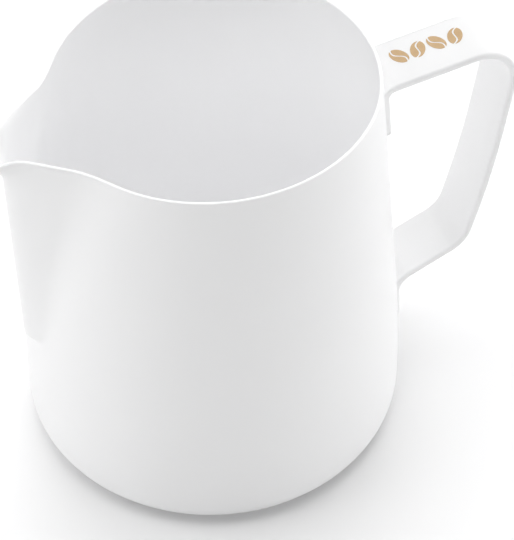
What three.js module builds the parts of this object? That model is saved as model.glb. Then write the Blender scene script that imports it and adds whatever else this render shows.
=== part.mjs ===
// A barista milk jug: a thin steel body with a pouring spout pressed out of its wall,
// and a flat strap handle whose two ends are turned against the wall and welded there.
// Millimetres, +Z up. The origin is the centre of the face that the jug stands on.
// The handle is towards +X and the spout towards -X, and the jug is alike on both sides of Y = 0.
// Angles are measured about the Z axis, from the middle of the handle.

import * as THREE from 'three';

const DEGREE = Math.PI / 180;

// Body, spun to a round shape that is widest just above the foot
const LIP_HEIGHT = 102.7;
const FOOT_CURVE = 7.4;
const WALL = 0.8;
// Outer radius at five even steps from the foot curve up to the lip
const WALL_RADII = [47.5, 46.4, 43.9, 41.2, 38.1];

// Drawing the spout out pulls the top of the wall in at the sides, not at the handle
const PULL_TO_HANDLE = 2.3;
const PULL_OVAL = 0.3;
const LIP_RISE_AT_HANDLE = 1.3;
const LIP_OVAL_RISE = 0.35;

// Spout: two side faces that meet in a rounded ridge and fade out at a rounded foot
const RIDGE_REACH = 47.9;
const RIDGE_ROUNDING = 3.5;
const SIDE_ANGLE_LOW = 55 * DEGREE;
const SIDE_ANGLE_HIGH = 41 * DEGREE;
const CREASE_SOFTNESS_LOW = 0.5;
const CREASE_SOFTNESS_HIGH = 2.4;
const SPOUT_FOOT_HEIGHT = 35.5;
const SPOUT_FOOT_RISE = 14;
const SPOUT_FOOT_SPREAD = 13.2 * DEGREE;
const SPOUT_FOOT_RUN = 4;

// Pouring lip: the last few millimetres of the spout, turned out and down
const LIP_FLARE = 2.8;
const LIP_CURL_HEIGHT = 1.0;
const LIP_NARROWING = 5 * DEGREE;
const LIP_DROP = 6.5;
const LIP_DROP_HALF_ANGLE = 5.2 * DEGREE;

// Handle strap: heights of its two welded tabs, and corners of its centre line as x and z
const STRAP_WIDTH = 15.3;
const STRAP_THICKNESS = 1.9;
const STRAP_EDGE_ROUNDING = 0.8;
const WELD_GAP = 0.3;
// How far the strap stands off the wall where a tab has turned into the free strap
const TAB_RELEASE = 2.2;
// How far each tab follows the wall's roundness, from 0 for a flat tab to 1
const UPPER_TAB_CURVE = 1;
const LOWER_TAB_CURVE = 0.2;
const UPPER_TAB_END = 77.8;
const UPPER_TAB_CORNER = 92.0;
const LOWER_TAB_CORNER = 24.6;
const LOWER_TAB_END = 11.8;
const TOP_CORNER = new THREE.Vector2(77.0, 95.8);
const GRIP_MIDDLE = new THREE.Vector2(71.9, 54.5);
const BOTTOM_CORNER = new THREE.Vector2(66.6, 32.3);
const UPPER_TAB_BEND = 2.8;
const TOP_BEND = 9.9;
const GRIP_BEND = 250;
const BOTTOM_BEND = 8.2;
const LOWER_TAB_BEND = 5.5;

// Fineness of the meshes
const BODY_STEP = 6 * DEGREE;
const SPOUT_STEP = 2.5 * DEGREE;
const NOSE_STEP = 1.5 * DEGREE;
const SPOUT_HALF_ANGLE = 42 * DEGREE;
const NOSE_HALF_ANGLE = 9 * DEGREE;
const FOOT_STEPS = 4;
// Bands of wall rows up to a share of the wall's rise: closer at the spout's foot and at the lip
const ROW_BANDS = [
  { top: 0.275, rows: 5 },
  { top: 0.425, rows: 6 },
  { top: 0.875, rows: 5 },
  { top: 0.965, rows: 2 },
  { top: 1, rows: 4 },
];
const RIM_STEPS = 4;
const STRAP_EDGE_STEPS = 3;
const STRAP_SIDE_STEPS = 4;
const BEND_STEPS = 7;
const TOP_BEND_STEPS = 10;
const GRIP_STEPS = 4;
const FRAME_STEP = 1e-4;

// Outer radius of the spun body at its sides, by a smooth curve through WALL_RADII
function sideRadius(z) {
  const last = WALL_RADII.length - 1;
  const place = ((z - FOOT_CURVE) / (LIP_HEIGHT - FOOT_CURVE)) * last;
  const i = THREE.MathUtils.clamp(Math.floor(place), 0, last - 1);
  const slopeAt = (k) => {
    if (k === 0) return 0;
    if (k === last) return WALL_RADII[last] - WALL_RADII[last - 1];
    return (WALL_RADII[k + 1] - WALL_RADII[k - 1]) / 2;
  };
  const t = place - i;
  const t2 = t * t;
  const t3 = t2 * t;
  return (2 * t3 - 3 * t2 + 1) * WALL_RADII[i]
    + (t3 - 2 * t2 + t) * slopeAt(i)
    + (3 * t2 - 2 * t3) * WALL_RADII[i + 1]
    + (t3 - t2) * slopeAt(i + 1);
}

// How far up the wall a height is: 0 at the foot curve, 1 at the lip
function riseOf(z) {
  return Math.max(0, (z - FOOT_CURVE) / (LIP_HEIGHT - FOOT_CURVE));
}

// Outer radius without the spout
function roundRadius(angle, z) {
  const pull = PULL_TO_HANDLE * Math.cos(angle) - PULL_OVAL * Math.cos(2 * angle);
  return sideRadius(z) + riseOf(z) ** 2 * pull;
}

// Angle away from the middle of the spout
function spoutAngle(angle) {
  return Math.PI - Math.abs(angle);
}

// Height of the outer edge of the lip: it dips at the spout's tip
function lipHeight(angle) {
  const dip = LIP_DROP * Math.exp(-((spoutAngle(angle) / LIP_DROP_HALF_ANGLE) ** 2));
  return LIP_HEIGHT + LIP_RISE_AT_HANDLE * Math.cos(angle) - LIP_OVAL_RISE * Math.cos(2 * angle) - dip;
}

// Radius of the two spout faces: a hyperbola, which is two straight sides with a rounded ridge
function spoutRadius(angle, z) {
  const curl = Math.exp(-(lipHeight(angle) - z) / LIP_CURL_HEIGHT);
  const reach = RIDGE_REACH + LIP_FLARE * curl;
  const rise = riseOf(z);
  const side = SIDE_ANGLE_LOW + (SIDE_ANGLE_HIGH - SIDE_ANGLE_LOW) * rise - LIP_NARROWING * curl;
  const away = Math.min(spoutAngle(angle), Math.PI / 2 - side);
  const k = 1 / Math.tan(side);
  const apex = reach + k * RIDGE_ROUNDING;
  const c = Math.cos(away);
  const s = Math.sin(away);
  const product = apex ** 2 - (k * RIDGE_ROUNDING) ** 2;
  const root = Math.sqrt(Math.max(0, (apex * c) ** 2 - (c * c - k * k * s * s) * product));
  return product / (apex * c + root);
}

// The larger of two radii, with a soft crease where they cross
function softMaximum(a, b, softness) {
  const share = THREE.MathUtils.clamp(0.5 + (0.5 * (b - a)) / softness, 0, 1);
  return a + (b - a) * share + softness * share * (1 - share);
}

// Share of the spout that shows at a height: it fades out at a rounded foot, lowest on the ridge
function spoutShare(angle, z) {
  const aside = 1 - Math.exp(-((spoutAngle(angle) / SPOUT_FOOT_SPREAD) ** 2));
  const foot = SPOUT_FOOT_HEIGHT + SPOUT_FOOT_RISE * aside;
  return THREE.MathUtils.smoothstep(z, foot, foot + SPOUT_FOOT_RUN);
}

// Outer radius of the finished body wall
function wallRadius(angle, z) {
  const round = roundRadius(angle, z);
  const share = spoutShare(angle, z);
  if (share === 0) return round;
  const softness = THREE.MathUtils.lerp(CREASE_SOFTNESS_LOW, CREASE_SOFTNESS_HIGH, riseOf(z));
  return round + (softMaximum(round, spoutRadius(angle, z), softness) - round) * share;
}

// A point of the wall's outer face: rise runs from 0 at the foot curve to 1 at the lip
function wallPoint(angle, rise) {
  const z = FOOT_CURVE + (lipHeight(angle) - FOOT_CURVE) * rise;
  const radius = wallRadius(angle, z);
  return new THREE.Vector3(radius * Math.cos(angle), radius * Math.sin(angle), z);
}

// Directions on the wall's outer face: up along it, and out of it
function wallFrame(angle, rise) {
  const up = wallPoint(angle, rise + FRAME_STEP).sub(wallPoint(angle, rise - FRAME_STEP)).normalize();
  const along = wallPoint(angle + FRAME_STEP, rise).sub(wallPoint(angle - FRAME_STEP, rise)).normalize();
  return { up, out: along.cross(up).normalize() };
}

// Angles of the body's columns: close together on the spout, closest on its nose
function columnAngles() {
  const angles = [];
  const spread = (from, to, step) => {
    const count = Math.round((to - from) / step);
    for (let i = 0; i < count; i += 1) angles.push(from + ((to - from) * i) / count);
  };
  const spoutEdge = Math.PI - SPOUT_HALF_ANGLE;
  const noseEdge = Math.PI - NOSE_HALF_ANGLE;
  spread(-Math.PI, -noseEdge, NOSE_STEP);
  spread(-noseEdge, -spoutEdge, SPOUT_STEP);
  spread(-spoutEdge, spoutEdge, BODY_STEP);
  spread(spoutEdge, noseEdge, SPOUT_STEP);
  spread(noseEdge, Math.PI, NOSE_STEP);
  return angles;
}

// Heights of the wall's rows as shares of its rise
function wallRises() {
  const rises = [];
  let bottom = 0;
  ROW_BANDS.forEach(({ top, rows }) => {
    for (let i = 1; i <= rows; i += 1) rises.push(bottom + ((top - bottom) * i) / rows);
    bottom = top;
  });
  return rises;
}

// One row of the foot curve, turn running from 0 on the base to a quarter turn at the wall
function footRow(angles, turn, depth) {
  const centre = WALL_RADII[0] - FOOT_CURVE;
  const radius = centre + (FOOT_CURVE - depth) * Math.sin(turn);
  const z = FOOT_CURVE - (FOOT_CURVE - depth) * Math.cos(turn);
  return angles.map((angle) => new THREE.Vector3(radius * Math.cos(angle), radius * Math.sin(angle), z));
}

// One row of the wall, depth below its outer face
function wallRow(angles, rise, depth) {
  return angles.map((angle) => {
    const point = wallPoint(angle, rise);
    return point.addScaledVector(wallFrame(angle, rise).out, -depth);
  });
}

// One row of the rounded rim, turn running over it from the outer face to the inner one
function rimRow(angles, turn) {
  return angles.map((angle) => {
    const frame = wallFrame(angle, 1);
    const point = wallPoint(angle, 1);
    point.addScaledVector(frame.out, (-WALL / 2) * (1 - Math.cos(turn)));
    return point.addScaledVector(frame.up, (WALL / 2) * Math.sin(turn));
  });
}

// A closed skin through rows of points that all have the same count, with a fan over each end row
function loft(rows) {
  const count = rows[0].length;
  const middle = (row) => row.reduce((sum, p) => sum.add(p), new THREE.Vector3()).divideScalar(count);
  const points = rows.flat();
  const start = points.push(middle(rows[0])) - 1;
  const end = points.push(middle(rows[rows.length - 1])) - 1;
  const lastRow = (rows.length - 1) * count;
  const faces = [];
  for (let i = 0; i < count; i += 1) {
    const j = (i + 1) % count;
    faces.push(start, j, i, end, lastRow + i, lastRow + j);
    for (let row = 0; row < lastRow; row += count) {
      faces.push(row + i, row + j, row + count + j, row + i, row + count + j, row + count + i);
    }
  }
  const geometry = new THREE.BufferGeometry().setFromPoints(points);
  geometry.setIndex(faces);
  geometry.computeVertexNormals();
  return geometry;
}

// The body: base, foot curve, wall, rim, and back down its inside to the floor
function bodyGeometry() {
  const angles = columnAngles();
  const rises = wallRises();
  const quarter = Math.PI / 2;
  const rows = [];
  for (let i = 0; i <= FOOT_STEPS; i += 1) rows.push(footRow(angles, (quarter * i) / FOOT_STEPS, 0));
  rises.forEach((rise) => rows.push(wallRow(angles, rise, 0)));
  for (let i = 1; i < RIM_STEPS; i += 1) rows.push(rimRow(angles, (Math.PI * i) / RIM_STEPS));
  rises.reverse().forEach((rise) => rows.push(wallRow(angles, rise, WALL)));
  for (let i = FOOT_STEPS; i >= 0; i -= 1) rows.push(footRow(angles, (quarter * i) / FOOT_STEPS, WALL));
  return loft(rows);
}

// A line through corners in the XZ plane, with an arc of the given radius at each inner corner
function roundedLine(corners) {
  const points = [corners[0].point];
  for (let i = 1; i < corners.length - 1; i += 1) {
    const { point, bend, steps } = corners[i];
    const back = corners[i - 1].point.clone().sub(point).normalize();
    const ahead = corners[i + 1].point.clone().sub(point).normalize();
    const half = Math.acos(back.dot(ahead)) / 2;
    const centre = back.clone().add(ahead).setLength(bend / Math.sin(half)).add(point);
    const from = back.multiplyScalar(bend / Math.tan(half)).add(point).sub(centre);
    const to = ahead.multiplyScalar(bend / Math.tan(half)).add(point).sub(centre);
    const sweep = Math.atan2(from.cross(to), from.dot(to));
    for (let k = 0; k <= steps; k += 1) {
      points.push(from.clone().rotateAround(new THREE.Vector2(), (sweep * k) / steps).add(centre));
    }
  }
  points.push(corners[corners.length - 1].point);
  return points;
}

// A point of the strap's centre line where the strap lies against the wall
function besideWall(z) {
  return new THREE.Vector2(wallRadius(0, z) + WELD_GAP + STRAP_THICKNESS / 2, z);
}

// Centre line of the strap: up the upper tab, out, down the grip, in, and down the lower tab
function strapLine() {
  const corner = (point, bend, steps) => ({ point, bend, steps });
  return roundedLine([
    corner(besideWall(UPPER_TAB_END)),
    corner(besideWall(UPPER_TAB_CORNER), UPPER_TAB_BEND, BEND_STEPS),
    corner(TOP_CORNER, TOP_BEND, TOP_BEND_STEPS),
    corner(GRIP_MIDDLE, GRIP_BEND, GRIP_STEPS),
    corner(BOTTOM_CORNER, BOTTOM_BEND, BEND_STEPS),
    corner(besideWall(LOWER_TAB_CORNER), LOWER_TAB_BEND, BEND_STEPS),
    corner(besideWall(LOWER_TAB_END)),
  ]);
}

// Outline of the strap's cross-section: a flat bar with rounded edges, as side and out offsets
function strapSection() {
  const halfWidth = STRAP_WIDTH / 2 - STRAP_EDGE_ROUNDING;
  const halfThickness = STRAP_THICKNESS / 2 - STRAP_EDGE_ROUNDING;
  const section = [];
  [[1, 1], [-1, 1], [-1, -1], [1, -1]].forEach(([side, out], quarter) => {
    for (let i = 0; i <= STRAP_EDGE_STEPS; i += 1) {
      const turn = (Math.PI / 2) * (quarter + i / STRAP_EDGE_STEPS);
      section.push({
        side: side * halfWidth + STRAP_EDGE_ROUNDING * Math.cos(turn),
        out: out * halfThickness + STRAP_EDGE_ROUNDING * Math.sin(turn),
      });
    }
    if (side !== out) return;
    for (let i = 1; i < STRAP_SIDE_STEPS; i += 1) {
      const across = 1 - (2 * i) / STRAP_SIDE_STEPS;
      section.push({ side: side * halfWidth * across, out: (out * STRAP_THICKNESS) / 2 });
    }
  });
  return section;
}

// How much a point of the strap belongs to a tab: 1 beside the wall, 0 on its free part
function hugShare(point) {
  const gap = point.x - besideWall(point.y).x;
  return 1 - THREE.MathUtils.smoothstep(gap, 0, TAB_RELEASE);
}

// The strap: its cross-section carried along the centre line, its tabs curved as the wall is
function strapGeometry() {
  const line = strapLine();
  const section = strapSection();
  const rows = line.map((point, i) => {
    const before = line[Math.max(i - 1, 0)];
    const after = line[Math.min(i + 1, line.length - 1)];
    const ahead = after.clone().sub(before).normalize();
    const wall = wallRadius(0, point.y);
    const curve = ahead.y > 0 ? UPPER_TAB_CURVE : -LOWER_TAB_CURVE;
    const hug = hugShare(point) * curve;
    return section.map(({ side, out }) => {
      const bowed = out + hug * (wall - Math.sqrt(wall ** 2 - side ** 2));
      return new THREE.Vector3(point.x - ahead.y * bowed, side, point.y + ahead.x * bowed);
    });
  });
  return loft(rows);
}

// White powder coat over steel
function coating() {
  return new THREE.MeshStandardMaterial({ color: 0xf2f2f3, roughness: 0.42, metalness: 0 });
}

function part(name, geometry) {
  const mesh = new THREE.Mesh(geometry, coating());
  mesh.name = name;
  return mesh;
}

const jug = new THREE.Group();
jug.add(part('jug_body', bodyGeometry()));
jug.add(part('strap_handle', strapGeometry()));

export default jug;
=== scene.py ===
# Looks of a white coated steel milk jug: its satin coat, its smooth pressed body, its welded
# strap handle with a small bronze print, and a plain white studio.
# Lengths are metres. +Z is up, the handle is towards +X and the spout towards -X.
# Angles are measured about the Z axis, from the middle of the handle.

import math

import bpy
import numpy as np
from mathutils import Matrix, Vector


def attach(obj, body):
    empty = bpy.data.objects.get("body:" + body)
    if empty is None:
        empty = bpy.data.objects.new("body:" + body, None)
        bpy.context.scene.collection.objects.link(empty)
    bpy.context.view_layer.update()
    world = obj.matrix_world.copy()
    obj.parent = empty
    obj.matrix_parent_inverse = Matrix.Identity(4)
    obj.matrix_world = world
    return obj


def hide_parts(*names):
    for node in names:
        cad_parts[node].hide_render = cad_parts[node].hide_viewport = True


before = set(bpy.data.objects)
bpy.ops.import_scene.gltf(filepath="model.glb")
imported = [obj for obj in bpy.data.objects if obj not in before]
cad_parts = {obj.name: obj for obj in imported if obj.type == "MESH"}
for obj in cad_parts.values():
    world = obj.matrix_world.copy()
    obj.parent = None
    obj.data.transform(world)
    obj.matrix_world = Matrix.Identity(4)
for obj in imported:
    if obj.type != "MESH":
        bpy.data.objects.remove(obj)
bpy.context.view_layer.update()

# Body, spun to a round shape that is widest just above the foot
LIP_HEIGHT = 0.1027
FOOT_CURVE = 0.0074
WALL = 0.0008
# Outer radii at even heights, from the top of the foot curve to the lip
WALL_RADII = [0.0475, 0.0464, 0.0439, 0.0412, 0.0381]
# How far the top leans to the handle and is out of round, and the same for the lip's height
PULL_TO_HANDLE = 0.0023
PULL_OVAL = 0.0003
LIP_RISE_AT_HANDLE = 0.0013
LIP_OVAL_RISE = 0.00035

# Spout: two side faces that meet in a rounded ridge and fade out at a rounded foot
RIDGE_REACH = 0.0479
RIDGE_ROUNDING = 0.0035
SIDE_ANGLE_LOW = math.radians(55)
SIDE_ANGLE_HIGH = math.radians(41)
CREASE_SOFTNESS_LOW = 0.0005
CREASE_SOFTNESS_HIGH = 0.0024
SPOUT_FOOT_HEIGHT = 0.0355
SPOUT_FOOT_RISE = 0.014
SPOUT_FOOT_SPREAD = math.radians(13.2)
SPOUT_FOOT_RUN = 0.004

# Pouring lip: the last few millimetres of the spout, turned out and down
LIP_FLARE = 0.0028
LIP_CURL_HEIGHT = 0.0010
LIP_NARROWING = math.radians(5)
LIP_DROP = 0.0065
LIP_DROP_HALF_ANGLE = math.radians(5.2)

# Mesh of the body: its columns lie closer together on the spout, and its rows at the lip
SPOUT_HALF_ANGLE = math.radians(44)
SPOUT_COLUMN_STEP = math.radians(0.8)
BODY_COLUMN_STEP = math.radians(2)
# Bands of the wall's rise: where each one ends, as a share of the rise, and its rows
WALL_BANDS = [(0.27, 14), (0.45, 24), (0.92, 24), (0.97, 6), (1.0, 12)]
FOOT_STEPS = 10
RIM_STEPS = 8
BASE_RINGS = [0.25, 0.5, 0.75]
# Step to either side, as an angle and as a share of the rise, that gives the wall's direction
PROBE_STEP = 1e-4

# Handle strap: heights of its two welded tabs, and corners of its centre line as x and z
STRAP_WIDTH = 0.0153
STRAP_THICKNESS = 0.0019
STRAP_EDGE_ROUNDING = 0.0008
UPPER_TAB_END = 0.0778
UPPER_TAB_CORNER = 0.0920
LOWER_TAB_CORNER = 0.0246
LOWER_TAB_END = 0.0118
TOP_CORNER = (0.0770, 0.0958)
GRIP_MIDDLE = (0.0719, 0.0545)
BOTTOM_CORNER = (0.0666, 0.0323)
UPPER_TAB_BEND = 0.0028
TOP_BEND = 0.0099
GRIP_BEND = 0.250
BOTTOM_BEND = 0.0082
LOWER_TAB_BEND = 0.0055
# Distance from its place on the wall at which the strap has left the wall's shape
TAB_RELEASE = 0.0022
# How far each tab follows the wall's roundness, from 0 for a flat tab to 1
UPPER_TAB_CURVE = 1.0
LOWER_TAB_CURVE = 0.2
WELD_GAP = 0.0003
WELD_SINK = 0.0001
WELD_FILLET = 0.0005

# Mesh of the strap: steps along the arc of each bend, the longest step along the strap,
# and steps round a long edge, across a broad face and over the rounding at an end
UPPER_TAB_STEPS = 16
TOP_STEPS = 28
GRIP_STEPS = 12
BOTTOM_STEPS = 20
LOWER_TAB_STEPS = 20
LONGEST_STEP = 0.0012
EDGE_STEPS = 6
FACE_STEPS = 8
END_STEPS = 4

# Print on the top of the handle: a row of plain coffee beans that lie across it
BEAN_COUNT = 4
BEAN_LENGTH = 0.0054
BEAN_WIDTH = 0.0036
BEAN_PITCH = 0.0048
BEAN_SLIT = 0.00042
BEAN_SLIT_WAVE = 0.16 * BEAN_WIDTH
# How far the beans lean, by turns to one side and to the other
BEAN_TURN = math.radians(28)
BEAN_EDGE_STEPS = 24
BEAN_SLIT_STEPS = 20
PRINT_HEIGHT = 0.00006
PRINT_SINK = PRINT_HEIGHT / 2
PRINT_CENTRE_X = 0.0562
PRINT_CENTRE_Y = 0.0013

# Materials: colours are linear, a larger scale is a finer noise, and depths are metres
COAT_TINTS = [(0.935, 0.935, 0.940, 1), (0.955, 0.955, 0.957, 1)]
COAT_TINT_SCALE = 55
COAT_ROUGHNESS = (0.36, 0.46)
COAT_GLOSS_SCALE = 180
COAT_WAVE_SCALE = 90
COAT_WAVE_DEPTH = 0.00004
COAT_PEEL_SCALE = 1500
COAT_PEEL_DEPTH = 0.000012
COAT_IOR = 1.5
INK_TINTS = [(0.50, 0.33, 0.17, 1), (0.60, 0.42, 0.23, 1)]
INK_TINT_SCALE = 900
INK_ROUGHNESS = (0.40, 0.55)
INK_GRAIN_SCALE = 2500
INK_GRAIN_DEPTH = 0.00001
INK_METALLIC = 0.25
TABLE_TINTS = [(0.81, 0.81, 0.815, 1), (0.83, 0.83, 0.83, 1)]
TABLE_TINT_SCALE = 3
TABLE_ROUGHNESS = 0.9
TABLE_SPECULAR = 0.1
# Octaves of a noise
PLAIN_DETAIL = 2
FINE_DETAIL = 3
# Most of a noise lies between these values
NOISE_LOW = 0.3
NOISE_HIGH = 0.7

# Studio: a flat table, and soft boxes that all face the middle of the jug
TABLE_SIZE = 6.0
LIGHT_AIM = Vector((0, 0, 0.05))
# Lights that fall on the jug alone: name, azimuth, elevation, distance, width, height, power
LIGHTS = [
    ("ceiling", -20, 89, 1.20, 2.0, 2.0, 2.33),
    ("high_left_box", -110, 55, 0.90, 0.6, 0.6, 0.42),
    ("high_back_box", 160, 55, 0.90, 0.6, 0.6, 3.01),
    ("front_box", -20, 42, 1.00, 0.6, 0.6, 1.25),
    ("left_front_box", -70, 42, 0.90, 0.6, 0.6, 1.28),
    ("right_front_box", 30, 42, 0.90, 0.6, 0.6, 0.84),
    ("left_box", -110, 20, 0.80, 0.6, 0.8, 2.43),
    ("right_box", 70, 20, 0.80, 0.6, 0.8, 2.45),
    ("right_back_box", 115, 20, 0.80, 0.6, 0.8, 2.54),
]
# The same for lights that fall on the jug's body alone, mostly into it
BODY_LIGHTS = [
    ("jug_top_box", -20, 89, 0.70, 0.5, 0.5, 1.22),
    ("jug_back_box", 160, 60, 1.00, 0.6, 0.6, 0.14),
]
# The same for lights that fall on the table alone, as on a lit white sweep
TABLE_LIGHTS = [
    ("table_top_box", 115, 86, 1.30, 0.8, 0.8, 1.48),
    ("table_high_back_box", 160, 80, 1.32, 0.8, 0.8, 0.77),
    ("table_right_box", 70, 80, 1.28, 0.8, 0.8, 4.70),
    ("table_low_box", 150, 70, 1.30, 0.8, 0.8, 0.27),
    ("table_back_box", 160, 50, 1.00, 1.0, 1.0, 7.62),
    ("table_left_box", -110, 55, 1.00, 0.6, 0.6, 2.68),
]
# The same for the light on the table that the jug casts no shadow in
TABLE_FILL = ("table_fill", -20, 89, 1.25, 2.0, 2.0, 11.20)
SKY_STRENGTH = 0.02

# Light passes many times between the white walls inside the jug
BOUNCES = 32
DIFFUSE_BOUNCES = 24

# Camera, as the photograph was taken. Its heading turns from +Y towards +X, its pitch is
# downwards, and its lens and sensor are millimetres
CAMERA_PLACE = Vector((-0.10834, -0.30396, 0.39325))
CAMERA_HEADING = math.radians(21.665)
CAMERA_PITCH = math.radians(47.498)
CAMERA_ROLL = math.radians(-0.442)
CAMERA_LENS = 129.25
CAMERA_SENSOR = 36.0


# Shape of the body

def side_radius(z):
    """Outer radius of the spun body at its sides, by a smooth curve through WALL_RADII."""
    radii = np.array(WALL_RADII)
    last = len(radii) - 1
    slopes = np.zeros(last + 1)
    slopes[1:last] = (radii[2:] - radii[:-2]) / 2
    slopes[last] = radii[last] - radii[last - 1]
    place = (z - FOOT_CURVE) / (LIP_HEIGHT - FOOT_CURVE) * last
    i = np.clip(np.floor(place).astype(int), 0, last - 1)
    t = place - i
    return (
        (2 * t**3 - 3 * t**2 + 1) * radii[i]
        + (t**3 - 2 * t**2 + t) * slopes[i]
        + (3 * t**2 - 2 * t**3) * radii[i + 1]
        + (t**3 - t**2) * slopes[i + 1]
    )


def rise_of(z):
    """How far up the wall a height is: 0 at the top of the foot curve, 1 at the lip."""
    return np.maximum(0, (z - FOOT_CURVE) / (LIP_HEIGHT - FOOT_CURVE))


def round_radius(angle, z):
    """Outer radius without the spout. The top leans a little towards the handle."""
    pull = PULL_TO_HANDLE * np.cos(angle) - PULL_OVAL * np.cos(2 * angle)
    return side_radius(z) + rise_of(z) ** 2 * pull


def spout_angle(angle):
    """Angle away from the middle of the spout."""
    return math.pi - np.abs(angle)


def lip_height(angle):
    """Height of the outer edge of the lip: higher towards the handle, with a dip at the spout."""
    dip = LIP_DROP * np.exp(-((spout_angle(angle) / LIP_DROP_HALF_ANGLE) ** 2))
    rise = LIP_RISE_AT_HANDLE * np.cos(angle) - LIP_OVAL_RISE * np.cos(2 * angle)
    return LIP_HEIGHT + rise - dip


def spout_radius(angle, z):
    """Radius of the two spout faces: a hyperbola, two straight sides with a rounded ridge."""
    curl = np.exp(-(lip_height(angle) - z) / LIP_CURL_HEIGHT)
    reach = RIDGE_REACH + LIP_FLARE * curl
    side = SIDE_ANGLE_LOW + (SIDE_ANGLE_HIGH - SIDE_ANGLE_LOW) * rise_of(z) - LIP_NARROWING * curl
    away = np.minimum(spout_angle(angle), math.pi / 2 - side)
    k = 1 / np.tan(side)
    apex = reach + k * RIDGE_ROUNDING
    c = np.cos(away)
    s = np.sin(away)
    product = apex**2 - (k * RIDGE_ROUNDING) ** 2
    root = np.sqrt(np.maximum(0, (apex * c) ** 2 - (c * c - k * k * s * s) * product))
    return product / (apex * c + root)


def smooth_step(value, low, high):
    """0 up to low and 1 from high on, with a smooth run between them."""
    t = np.clip((value - low) / (high - low), 0, 1)
    return t * t * (3 - 2 * t)


def wall_radius(angle, z):
    """Outer radius of the finished wall: the larger of body and spout, with a soft crease."""
    body = round_radius(angle, z)
    spout = spout_radius(angle, z)
    softness = CREASE_SOFTNESS_LOW + (CREASE_SOFTNESS_HIGH - CREASE_SOFTNESS_LOW) * rise_of(z)
    share = np.clip(0.5 + 0.5 * (spout - body) / softness, 0, 1)
    joined = body + (spout - body) * share + softness * share * (1 - share)
    aside = 1 - np.exp(-((spout_angle(angle) / SPOUT_FOOT_SPREAD) ** 2))
    foot = SPOUT_FOOT_HEIGHT + SPOUT_FOOT_RISE * aside
    return body + (joined - body) * smooth_step(z, foot, foot + SPOUT_FOOT_RUN)


def wall_point(angle, rise):
    """A point of the wall's outer face: rise runs from 0 at the foot curve to 1 at the lip."""
    z = FOOT_CURVE + (lip_height(angle) - FOOT_CURVE) * rise
    radius = wall_radius(angle, z)
    return np.stack([radius * np.cos(angle), radius * np.sin(angle), z], axis=-1)


def unit(vectors):
    """The same directions with length 1."""
    return vectors / np.linalg.norm(vectors, axis=-1, keepdims=True)


def wall_frame(angle, rise):
    """Directions on the wall's outer face: up along it, and out of it."""
    up = unit(wall_point(angle, rise + PROBE_STEP) - wall_point(angle, rise - PROBE_STEP))
    along = unit(wall_point(angle + PROBE_STEP, rise) - wall_point(angle - PROBE_STEP, rise))
    return up, unit(np.cross(along, up))


def mesh_object(name, points, faces, smooth=True):
    """A new mesh in the scene."""
    mesh = bpy.data.meshes.new(name)
    mesh.from_pydata([tuple(p) for p in points], [], faces)
    mesh.validate()
    mesh.polygons.foreach_set("use_smooth", [smooth] * len(mesh.polygons))
    mesh.update()
    piece = bpy.data.objects.new(name, mesh)
    bpy.context.scene.collection.objects.link(piece)
    return piece


def loft_faces(row_count, count):
    """Quads between rows of the same count, and a fan over the first and the last row."""
    faces = []
    start = row_count * count
    last_row = (row_count - 1) * count
    for i in range(count):
        j = (i + 1) % count
        faces.append((start, j, i))
        faces.append((start + 1, last_row + i, last_row + j))
        for row in range(0, last_row, count):
            faces.append((row + i, row + j, row + count + j, row + count + i))
    return faces


def loft(name, rows):
    """A closed skin through rows of points. Each fan meets in the middle of its row."""
    middles = [rows[0].mean(axis=0)[None], rows[-1].mean(axis=0)[None]]
    return mesh_object(name, np.concatenate(rows + middles), loft_faces(len(rows), len(rows[0])))


def spread(start, end, step):
    """Even values from start up to, and without, end."""
    return np.linspace(start, end, round((end - start) / step), endpoint=False)


def column_angles():
    """Angles of the body's columns, once round from the middle of the spout."""
    spout_edge = math.pi - SPOUT_HALF_ANGLE
    return np.concatenate([
        spread(-math.pi, -spout_edge, SPOUT_COLUMN_STEP),
        spread(-spout_edge, spout_edge, BODY_COLUMN_STEP),
        spread(spout_edge, math.pi, SPOUT_COLUMN_STEP),
    ])


def wall_rises():
    """Heights of the wall's rows, as shares of its rise."""
    rises = []
    bottom = 0.0
    for top, rows in WALL_BANDS:
        rises.extend(bottom + (top - bottom) * (i + 1) / rows for i in range(rows))
        bottom = top
    return rises


def foot_row(angles, turn, depth):
    """A row of the foot curve: turn is 0 on the base and a quarter turn at the wall."""
    radius = WALL_RADII[0] - FOOT_CURVE + (FOOT_CURVE - depth) * math.sin(turn)
    z = FOOT_CURVE - (FOOT_CURVE - depth) * math.cos(turn)
    return np.stack([radius * np.cos(angles), radius * np.sin(angles), np.full_like(angles, z)], axis=-1)


def wall_row(angles, rise, depth):
    """A row of the wall, at a depth under its outer face."""
    up, out = wall_frame(angles, rise)
    return wall_point(angles, rise) - out * depth


def rim_row(angles, turn):
    """A row of the rounded rim: turn runs over it from the outer face to the inner one."""
    up, out = wall_frame(angles, 1.0)
    half = WALL / 2
    return wall_point(angles, 1.0) - out * half * (1 - math.cos(turn)) + up * half * math.sin(turn)


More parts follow.
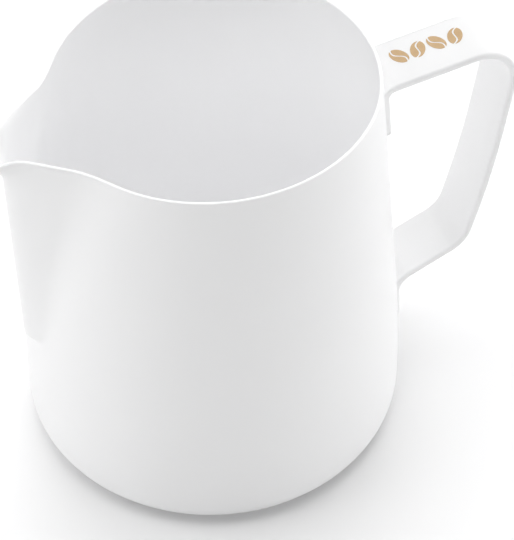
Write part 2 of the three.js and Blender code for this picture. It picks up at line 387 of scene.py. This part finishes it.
def make_body():
    """One skin: the base, up the outside, over the rim, down the inside, and the inner floor."""
    angles = column_angles()
    rises = wall_rises()
    foot_turns = np.linspace(0, math.pi / 2, FOOT_STEPS + 1)
    rim_turns = np.linspace(0, math.pi, RIM_STEPS + 1)[1:-1]
    outer_foot = [foot_row(angles, turn, 0) for turn in foot_turns]
    inner_foot = [foot_row(angles, turn, WALL) for turn in foot_turns[::-1]]
    flat = np.array([1, 1, 0])
    floor_height = np.array([0, 0, WALL])
    rows = [outer_foot[0] * flat * share for share in BASE_RINGS]
    rows += outer_foot
    rows += [wall_row(angles, rise, 0) for rise in rises]
    rows += [rim_row(angles, turn) for turn in rim_turns]
    rows += [wall_row(angles, rise, WALL) for rise in rises[::-1]]
    rows += inner_foot
    rows += [inner_foot[-1] * flat * share + floor_height for share in BASE_RINGS[::-1]]
    return loft("body_shell", rows)


# Shape of the handle

def rounded_line(corners):
    """A line through corners as (point, bend radius, steps), with an arc at each inner one."""
    points = [np.array(corners[0][0])]
    for (before, _, _), (point, bend, steps), (after, _, _) in zip(corners, corners[1:], corners[2:]):
        point = np.array(point)
        back = unit(np.array(before) - point)
        ahead = unit(np.array(after) - point)
        half = math.acos(float(back @ ahead)) / 2
        centre = point + unit(back + ahead) * bend / math.sin(half)
        start = point + back * bend / math.tan(half) - centre
        end = point + ahead * bend / math.tan(half) - centre
        sweep = math.atan2(start[0] * end[1] - start[1] * end[0], float(start @ end))
        for step in range(steps + 1):
            turn = sweep * step / steps
            c, s = math.cos(turn), math.sin(turn)
            points.append(centre + [c * start[0] - s * start[1], s * start[0] + c * start[1]])
    points.append(np.array(corners[-1][0]))
    return points


def beside_wall(z):
    """A point of the strap's centre line where the strap lies against the wall."""
    return (float(wall_radius(0.0, z)) + WELD_GAP + STRAP_THICKNESS / 2, z)


def strap_line():
    """Centre line: up the upper tab, out, down the grip, in, and down the lower tab."""
    return rounded_line([
        (beside_wall(UPPER_TAB_END), 0, 0),
        (beside_wall(UPPER_TAB_CORNER), UPPER_TAB_BEND, UPPER_TAB_STEPS),
        (TOP_CORNER, TOP_BEND, TOP_STEPS),
        (GRIP_MIDDLE, GRIP_BEND, GRIP_STEPS),
        (BOTTOM_CORNER, BOTTOM_BEND, BOTTOM_STEPS),
        (beside_wall(LOWER_TAB_CORNER), LOWER_TAB_BEND, LOWER_TAB_STEPS),
        (beside_wall(LOWER_TAB_END), 0, 0),
    ])


def refine(line, longest):
    """The same line with no step longer than a length."""
    points = [line[0]]
    for start, end in zip(line, line[1:]):
        steps = max(1, math.ceil(float(np.linalg.norm(end - start)) / longest))
        points.extend(start + (end - start) * (i + 1) / steps for i in range(steps))
    return points


def strap_section(inset):
    """The strap's cross-section as (side, out) pairs, with each side edge drawn in by inset."""
    rounding = STRAP_EDGE_ROUNDING
    half_width = STRAP_WIDTH / 2 - rounding - inset
    half_thickness = STRAP_THICKNESS / 2 - rounding
    section = []
    for quarter, (side, out) in enumerate([(1, 1), (-1, 1), (-1, -1), (1, -1)]):
        for step in range(EDGE_STEPS + 1):
            turn = math.pi / 2 * (quarter + step / EDGE_STEPS)
            section.append((
                side * half_width + rounding * math.cos(turn),
                out * half_thickness + rounding * math.sin(turn),
            ))
        across = np.linspace(side * half_width, -side * half_width, FACE_STEPS + 1)[1:-1]
        if quarter % 2 == 0:
            section.extend((s, out * STRAP_THICKNESS / 2) for s in across)
    return np.array(section)


def hug_share(point):
    """1 where the strap lies against the wall, 0 on its free part."""
    gap = point[0] - beside_wall(point[1])[0]
    return 1 - float(smooth_step(gap, 0, TAB_RELEASE))


def strap_row(point, ahead, inset=0, thin=1):
    """One row of the strap. On a tab it curves as the wall does and sinks just into it."""
    section = strap_section(inset)
    side = section[:, 0]
    out = section[:, 1] * thin
    hug = hug_share(point)
    wall = float(wall_radius(0.0, point[1]))
    toward = 1 if ahead[1] > 0 else -1
    curve = UPPER_TAB_CURVE if toward > 0 else LOWER_TAB_CURVE
    bow = curve * (wall - np.sqrt(wall**2 - side**2))
    inner = np.clip(0.5 + toward * section[:, 1] / STRAP_THICKNESS, 0, 1)
    fillet = hug * curve * np.clip(inner * 2 - 1, 0, 1) * WELD_FILLET * np.sign(side)
    out = out + hug * toward * (bow + inner * (WELD_GAP + WELD_SINK))
    return np.stack([
        point[0] - ahead[1] * out,
        side + fillet,
        point[1] + ahead[0] * out,
    ], axis=-1)


def end_rows(point, ahead, inward):
    """Rows of an end of the strap: a rounded edge, round a face that is sunk in by as much."""
    turns = np.linspace(0, math.pi / 2, END_STEPS + 1)
    rows = []
    for turn in turns[::inward]:
        depth = STRAP_EDGE_ROUNDING * (1 - math.sin(turn))
        inset = STRAP_EDGE_ROUNDING * (1 - math.cos(turn))
        moved = point + ahead * inward * depth
        rows.append(strap_row(moved, ahead, inset, 1 - inset / STRAP_THICKNESS))
    return rows


def make_strap():
    """The strap as one skin, from the end of its upper tab to that of its lower one."""
    line = refine(strap_line(), LONGEST_STEP)
    rows = end_rows(line[0], unit(line[1] - line[0]), 1)
    for before, point, after in zip(line, line[1:], line[2:]):
        rows.append(strap_row(point, unit(after - before)))
    rows += end_rows(line[-1], unit(line[-1] - line[-2]), -1)
    return loft("handle_strap", rows)


# Print

def print_place():
    """Matrix of the print: x along the handle's top plate, y across it, z out of it."""
    corner = np.array(beside_wall(UPPER_TAB_CORNER))
    along = unit(np.array(TOP_CORNER) - corner)
    out = np.array([-along[1], along[0]])
    centre = corner + along * (PRINT_CENTRE_X - corner[0]) / along[0] + out * STRAP_THICKNESS / 2
    return Matrix([
        (along[0], 0, out[0], centre[0]),
        (0, 1, 0, PRINT_CENTRE_Y),
        (along[1], 0, out[1], centre[1]),
        (0, 0, 0, 1),
    ])


def bean_half(side):
    """Outline of one half of a bean, side 1 or -1: its round edge, and its wavy slit."""
    turns = np.linspace(0, math.pi, BEAN_EDGE_STEPS + 1)
    edge = np.stack([np.cos(turns) * BEAN_LENGTH / 2, np.sin(turns) * BEAN_WIDTH / 2], axis=-1)
    along = np.linspace(-1, 1, BEAN_SLIT_STEPS + 1)[1:-1]
    wave = BEAN_SLIT_WAVE * np.sin(along * math.pi)
    slit = np.stack([along * BEAN_LENGTH / 2, side * wave + BEAN_SLIT / 2], axis=-1)
    keep = edge[:, 1] > BEAN_SLIT / 2
    outline = np.concatenate([edge[keep], slit]) * [1, side]
    return outline[::side]


def add_plate(outline, place, points, faces):
    """Adds a raised plate of the print with this outline to points and faces."""
    start = len(points)
    count = len(outline)
    for z in (-PRINT_SINK, PRINT_HEIGHT):
        points.extend(place @ Vector((x, y, z)) for x, y in outline)
    around = range(count)
    faces.append([start + i for i in reversed(around)])
    faces.append([start + count + i for i in around])
    for i in around:
        j = (i + 1) % count
        faces.append([start + i, start + j, start + count + j, start + count + i])


def make_print():
    """The row of beans, each in two halves."""
    points = []
    faces = []
    place = print_place()
    for i in range(BEAN_COUNT):
        shift = (i - (BEAN_COUNT - 1) / 2) * BEAN_PITCH
        turn = BEAN_TURN if i % 2 == 0 else -BEAN_TURN
        bean = place @ Matrix.Translation((shift, 0, 0)) @ Matrix.Rotation(turn + math.pi / 2, 4, "Z")
        for side in (1, -1):
            add_plate(bean_half(side), bean, points, faces)
    return mesh_object("bean_print", points, faces, smooth=False)


# Materials

class Look:
    """A material made of nodes over its piece's own coordinates."""

    def __init__(self, name):
        self.material = bpy.data.materials.new(name)
        self.material.use_nodes = True
        self.nodes = self.material.node_tree.nodes
        self.links = self.material.node_tree.links
        self.shader = self.nodes["Principled BSDF"]
        self.place = self.nodes.new("ShaderNodeTexCoord").outputs["Object"]
        self.normal = None

    def set(self, name, value):
        """Gives one of the shader's inputs a plain value."""
        self.shader.inputs[name].default_value = value

    def noise(self, scale, detail):
        """A noise over the piece."""
        texture = self.nodes.new("ShaderNodeTexNoise")
        texture.inputs["Scale"].default_value = scale
        texture.inputs["Detail"].default_value = detail
        self.links.new(self.place, texture.inputs["Vector"])
        return texture.outputs["Fac"]

    def tint(self, value, tints):
        """Lets a noise mix two colours."""
        mix = self.nodes.new("ShaderNodeMix")
        mix.data_type = "RGBA"
        mix.inputs["A"].default_value = tints[0]
        mix.inputs["B"].default_value = tints[1]
        self.links.new(value, mix.inputs["Factor"])
        self.links.new(mix.outputs["Result"], self.shader.inputs["Base Color"])

    def roughen(self, value, roughness):
        """Lets a noise run between two roughnesses."""
        run = self.nodes.new("ShaderNodeMapRange")
        run.inputs["From Min"].default_value = NOISE_LOW
        run.inputs["From Max"].default_value = NOISE_HIGH
        run.inputs["To Min"].default_value = roughness[0]
        run.inputs["To Max"].default_value = roughness[1]
        self.links.new(value, run.inputs["Value"])
        self.links.new(run.outputs["Result"], self.shader.inputs["Roughness"])

    def bump(self, value, depth):
        """Lets a noise raise the surface, on top of the bumps that it has already."""
        bumps = self.nodes.new("ShaderNodeBump")
        bumps.inputs["Strength"].default_value = 1.0
        bumps.inputs["Distance"].default_value = depth
        self.links.new(value, bumps.inputs["Height"])
        if self.normal:
            self.links.new(self.normal, bumps.inputs["Normal"])
        self.normal = bumps.outputs["Normal"]
        self.links.new(self.normal, self.shader.inputs["Normal"])


def coat_material():
    """White satin powder coat: fine orange peel over slow waves, with uneven gloss."""
    look = Look("white_powder_coat")
    look.tint(look.noise(COAT_TINT_SCALE, FINE_DETAIL), COAT_TINTS)
    look.roughen(look.noise(COAT_GLOSS_SCALE, FINE_DETAIL), COAT_ROUGHNESS)
    look.bump(look.noise(COAT_WAVE_SCALE, PLAIN_DETAIL), COAT_WAVE_DEPTH)
    look.bump(look.noise(COAT_PEEL_SCALE, PLAIN_DETAIL), COAT_PEEL_DEPTH)
    look.set("IOR", COAT_IOR)
    return look.material


def print_material():
    """Bronze print, a little uneven, as a thin ink layer is."""
    look = Look("bronze_ink")
    look.tint(look.noise(INK_TINT_SCALE, FINE_DETAIL), INK_TINTS)
    grain = look.noise(INK_GRAIN_SCALE, PLAIN_DETAIL)
    look.roughen(grain, INK_ROUGHNESS)
    look.bump(grain, INK_GRAIN_DEPTH)
    look.set("Metallic", INK_METALLIC)
    return look.material


def table_material():
    """Matt white table."""
    look = Look("white_table")
    look.tint(look.noise(TABLE_TINT_SCALE, PLAIN_DETAIL), TABLE_TINTS)
    look.set("Roughness", TABLE_ROUGHNESS)
    look.set("Specular IOR Level", TABLE_SPECULAR)
    return look.material


def dress(piece, material, node=None):
    """Gives a piece its material, its body, and the solid that it stands for."""
    piece.data.materials.append(material)
    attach(piece, "root")
    if node:
        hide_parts(node)


# Studio

def make_table():
    """A wide flat table, which fills the picture behind the jug."""
    half = TABLE_SIZE / 2
    table = mesh_object(
        "table",
        [(-half, -half, 0), (half, -half, 0), (half, half, 0), (-half, half, 0)],
        [(0, 1, 2, 3)],
    )
    table.data.materials.append(table_material())
    return table


def area_light(name, azimuth, elevation, distance, width, height, power):
    """A soft box. Its azimuth is 0 at -Y and turns towards +X, in degrees, as its elevation is."""
    turn = math.radians(azimuth)
    tilt = math.radians(elevation)
    back = Vector((math.sin(turn) * math.cos(tilt), -math.cos(turn) * math.cos(tilt), math.sin(tilt)))
    data = bpy.data.lights.new(name, "AREA")
    data.shape = "RECTANGLE"
    data.size = width
    data.size_y = height
    data.energy = power
    light = bpy.data.objects.new(name, data)
    light.location = LIGHT_AIM + back * distance
    light.rotation_mode = "QUATERNION"
    light.rotation_quaternion = (-back).to_track_quat("-Z", "Y")
    bpy.context.scene.collection.objects.link(light)
    return light


def group(name, pieces):
    """A collection of pieces that a light is linked to."""
    collection = bpy.data.collections.new(name)
    for piece in pieces:
        collection.objects.link(piece)
    return collection


def light_only(light, pieces):
    """Lets a light fall on some pieces alone. Other pieces still cast their shadows in it."""
    light.light_linking.receiver_collection = group(light.name + "_lit", pieces)


def shadow_only(light, pieces):
    """Lets some pieces alone cast a shadow in a light."""
    light.light_linking.blocker_collection = group(light.name + "_blockers", pieces)


def make_sky():
    """A faint even white light from everywhere."""
    world = bpy.data.worlds.new("studio")
    world.use_nodes = True
    sky = world.node_tree.nodes["Background"]
    sky.inputs["Color"].default_value = (1.0, 1.0, 1.0, 1)
    sky.inputs["Strength"].default_value = SKY_STRENGTH
    bpy.context.scene.world = world


def make_lights(body, jug, table):
    """Lights on the body alone, on the whole jug and on the table."""
    for entry in LIGHTS:
        light_only(area_light(*entry), jug)
    for entry in BODY_LIGHTS:
        light_only(area_light(*entry), [body])
    for entry in TABLE_LIGHTS:
        light_only(area_light(*entry), [table])
    fill = area_light(*TABLE_FILL)
    light_only(fill, [table])
    shadow_only(fill, [table])


def make_camera():
    """The camera, turned by its heading and pitch, and then rolled about its own axis."""
    ahead = Vector((
        math.sin(CAMERA_HEADING) * math.cos(CAMERA_PITCH),
        math.cos(CAMERA_HEADING) * math.cos(CAMERA_PITCH),
        -math.sin(CAMERA_PITCH),
    ))
    right = Vector((math.cos(CAMERA_HEADING), -math.sin(CAMERA_HEADING), 0))
    up = right.cross(ahead)
    c = math.cos(CAMERA_ROLL)
    s = math.sin(CAMERA_ROLL)
    across = right * c + up * s
    upward = up * c - right * s
    data = bpy.data.cameras.new("camera")
    data.lens = CAMERA_LENS
    data.sensor_width = CAMERA_SENSOR
    camera = bpy.data.objects.new("camera", data)
    facing = Matrix((across, upward, -ahead)).transposed().to_4x4()
    camera.matrix_world = Matrix.Translation(CAMERA_PLACE) @ facing
    bpy.context.scene.collection.objects.link(camera)
    bpy.context.scene.camera = camera


def main():
    """The whole scene: camera, jug, table and light."""
    make_camera()
    coat = coat_material()
    body = make_body()
    strap = make_strap()
    beans = make_print()
    dress(body, coat, "jug_body")
    dress(strap, coat, "strap_handle")
    dress(beans, print_material())
    make_lights(body, [body, strap, beans], make_table())
    make_sky()
    bpy.context.scene.view_settings.view_transform = "Standard"
    bpy.context.scene.cycles.use_denoising = True
    bpy.context.scene.cycles.max_bounces = BOUNCES
    bpy.context.scene.cycles.diffuse_bounces = DIFFUSE_BOUNCES


main()
